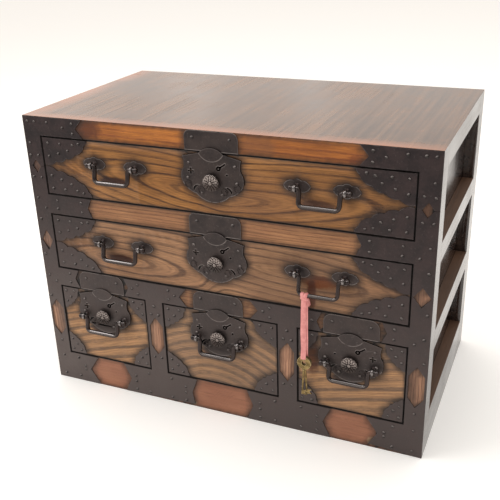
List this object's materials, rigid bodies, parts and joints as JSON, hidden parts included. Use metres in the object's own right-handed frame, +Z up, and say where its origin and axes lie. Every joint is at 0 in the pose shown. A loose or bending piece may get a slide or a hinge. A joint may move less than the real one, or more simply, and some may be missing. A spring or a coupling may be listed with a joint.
{
  "type": "drawer chest",
  "caption": "Low lacquered wooden chest with iron corner mounts: wide drawers over a row of small ones, each with a button lock and bail handles.",
  "frame": {"origin": "on the floor, under the middle of the box that holds the chest and its bails", "axes": "+X to the right seen from the front, +Y from the drawer fronts to the back, +Z up"},
  "size_m": [0.6, 0.3591, 0.44],
  "materials": {
    "lacquered_wood": "glossy dark lacquer over brown wood",
    "inner_wood": "bare softwood, darkened by age",
    "front_wood": "wiped lacquer over bold grain",
    "drawer_wood": "bare pale wood",
    "iron": "dark waxed iron, worn at its edges",
    "ribbon": "satin",
    "key_brass": "dull old brass"
  },
  "bodies": {
    "carcass": {"corner_posts": "lacquered_wood", "front_rails": "lacquered_wood", "front_dividers": "lacquered_wood", "side_rails": "lacquered_wood", "back_rails": "inner_wood", "side_panels": "lacquered_wood", "back_panel": "inner_wood", "top_panel": "lacquered_wood", "shelves": "inner_wood", "bottom_board": "inner_wood", "shelf_bearers": "inner_wood", "partitions": "inner_wood", "drawer_guides": "inner_wood", "frame_plates": "iron", "keeper_plates": "iron", "frame_nails": "iron"},
    "top_drawer": {"top_drawer_front": "front_wood", "top_drawer_box": "drawer_wood", "top_drawer_corner_plates": "iron", "top_drawer_lock": "iron", "top_drawer_handle_posts": "iron"},
    "top_bolt": {"top_drawer_lock_bolt": "iron"},
    "top_button": {"top_drawer_button": "iron"},
    "middle_drawer": {"middle_drawer_front": "front_wood", "middle_drawer_box": "drawer_wood", "middle_drawer_corner_plates": "iron", "middle_drawer_lock": "iron", "middle_drawer_handle_posts": "iron"},
    "middle_bolt": {"middle_drawer_lock_bolt": "iron"},
    "middle_button": {"middle_drawer_button": "iron"},
    "left_drawer": {"left_drawer_front": "front_wood", "left_drawer_box": "drawer_wood", "left_drawer_corner_plates": "iron", "left_drawer_lock": "iron", "left_drawer_handle_posts": "iron"},
    "left_bolt": {"left_drawer_lock_bolt": "iron"},
    "left_button": {"left_drawer_button": "iron"},
    "centre_drawer": {"centre_drawer_front": "front_wood", "centre_drawer_box": "drawer_wood", "centre_drawer_corner_plates": "iron", "centre_drawer_lock": "iron", "centre_drawer_handle_posts": "iron"},
    "centre_bolt": {"centre_drawer_lock_bolt": "iron"},
    "centre_button": {"centre_drawer_button": "iron"},
    "right_drawer": {"right_drawer_front": "front_wood", "right_drawer_box": "drawer_wood", "right_drawer_corner_plates": "iron", "right_drawer_lock": "iron", "right_drawer_handle_posts": "iron"},
    "right_bolt": {"right_drawer_lock_bolt": "iron"},
    "right_button": {"right_drawer_button": "iron"},
    "top_left_bail": {"top_left_bail": "iron"},
    "top_right_bail": {"top_right_bail": "iron"},
    "middle_left_bail": {"middle_left_bail": "iron"},
    "middle_right_bail": {"middle_right_bail": "iron"},
    "left_bail": {"left_bail": "iron"},
    "centre_bail": {"centre_bail": "iron"},
    "right_bail": {"right_bail": "iron"},
    "ribbon_and_keys": {"key_ribbon": "ribbon", "keys": "key_brass"}
  },
  "joints": [
    {"name": "top_drawer_slide", "type": "slide", "parent": "carcass", "child": "top_drawer", "axis": [0, -1, 0], "range_m": [0, 0.24]},
    {"name": "middle_drawer_slide", "type": "slide", "parent": "carcass", "child": "middle_drawer", "axis": [0, -1, 0], "range_m": [0, 0.24]},
    {"name": "left_drawer_slide", "type": "slide", "parent": "carcass", "child": "left_drawer", "axis": [0, -1, 0], "range_m": [0, 0.24]},
    {"name": "centre_drawer_slide", "type": "slide", "parent": "carcass", "child": "centre_drawer", "axis": [0, -1, 0], "range_m": [0, 0.24]},
    {"name": "right_drawer_slide", "type": "slide", "parent": "carcass", "child": "right_drawer", "axis": [0, -1, 0], "range_m": [0, 0.24], "deforming": ["key_ribbon", "keys"]},
    {"name": "top_button_push", "type": "slide", "parent": "top_drawer", "child": "top_button", "axis": [0, 1, 0], "range_m": [0, 0.003]},
    {"name": "top_bolt_rise", "type": "slide", "parent": "top_drawer", "child": "top_bolt", "axis": [0, 0, 1], "range_m": [0, 0.006]},
    {"name": "middle_button_push", "type": "slide", "parent": "middle_drawer", "child": "middle_button", "axis": [0, 1, 0], "range_m": [0, 0.003]},
    {"name": "middle_bolt_rise", "type": "slide", "parent": "middle_drawer", "child": "middle_bolt", "axis": [0, 0, 1], "range_m": [0, 0.006]},
    {"name": "left_button_push", "type": "slide", "parent": "left_drawer", "child": "left_button", "axis": [0, 1, 0], "range_m": [0, 0.003]},
    {"name": "left_bolt_rise", "type": "slide", "parent": "left_drawer", "child": "left_bolt", "axis": [0, 0, 1], "range_m": [0, 0.006]},
    {"name": "centre_button_push", "type": "slide", "parent": "centre_drawer", "child": "centre_button", "axis": [0, 1, 0], "range_m": [0, 0.003]},
    {"name": "centre_bolt_rise", "type": "slide", "parent": "centre_drawer", "child": "centre_bolt", "axis": [0, 0, 1], "range_m": [0, 0.006]},
    {"name": "right_button_push", "type": "slide", "parent": "right_drawer", "child": "right_button", "axis": [0, 1, 0], "range_m": [0, 0.003]},
    {"name": "right_bolt_rise", "type": "slide", "parent": "right_drawer", "child": "right_bolt", "axis": [0, 0, 1], "range_m": [0, 0.006]},
    {"name": "top_left_bail_swing", "type": "hinge", "parent": "top_drawer", "child": "top_left_bail", "pos_m": [-0.152, -0.17061, 0.3775], "axis": [-1, 0, 0], "range_deg": [0, 150]},
    {"name": "top_right_bail_swing", "type": "hinge", "parent": "top_drawer", "child": "top_right_bail", "pos_m": [0.152, -0.17061, 0.3775], "axis": [-1, 0, 0], "range_deg": [0, 150]},
    {"name": "middle_left_bail_swing", "type": "hinge", "parent": "middle_drawer", "child": "middle_left_bail", "pos_m": [-0.152, -0.17061, 0.2575], "axis": [-1, 0, 0], "range_deg": [0, 150]},
    {"name": "middle_right_bail_swing", "type": "hinge", "parent": "middle_drawer", "child": "middle_right_bail", "pos_m": [0.152, -0.17061, 0.2575], "axis": [-1, 0, 0], "range_deg": [0, 150]},
    {"name": "left_bail_swing", "type": "hinge", "parent": "left_drawer", "child": "left_bail", "pos_m": [-0.197, -0.17061, 0.129], "axis": [-1, 0, 0], "range_deg": [0, 150]},
    {"name": "centre_bail_swing", "type": "hinge", "parent": "centre_drawer", "child": "centre_bail", "pos_m": [-0.0017, -0.17061, 0.129], "axis": [-1, 0, 0], "range_deg": [0, 150]},
    {"name": "right_bail_swing", "type": "hinge", "parent": "right_drawer", "child": "right_bail", "pos_m": [0.1953, -0.17061, 0.129], "axis": [-1, 0, 0], "range_deg": [0, 150]},
    {"name": "ribbon_and_keys_hang", "type": "hinge", "parent": "middle_right_bail", "child": "ribbon_and_keys", "pos_m": [0.134, -0.17589, 0.23153], "axis": [-1, 0, 0], "range_deg": [-150, 0]}
  ],
  "couplings": [
    {"joint": "top_bolt_rise", "follows": "top_button_push", "ratio": 2},
    {"joint": "middle_bolt_rise", "follows": "middle_button_push", "ratio": 2},
    {"joint": "left_bolt_rise", "follows": "left_button_push", "ratio": 2},
    {"joint": "centre_bolt_rise", "follows": "centre_button_push", "ratio": 2},
    {"joint": "right_bolt_rise", "follows": "right_button_push", "ratio": 2},
    {"joint": "ribbon_and_keys_hang", "follows": "middle_right_bail_swing", "ratio": -1}
  ]
}
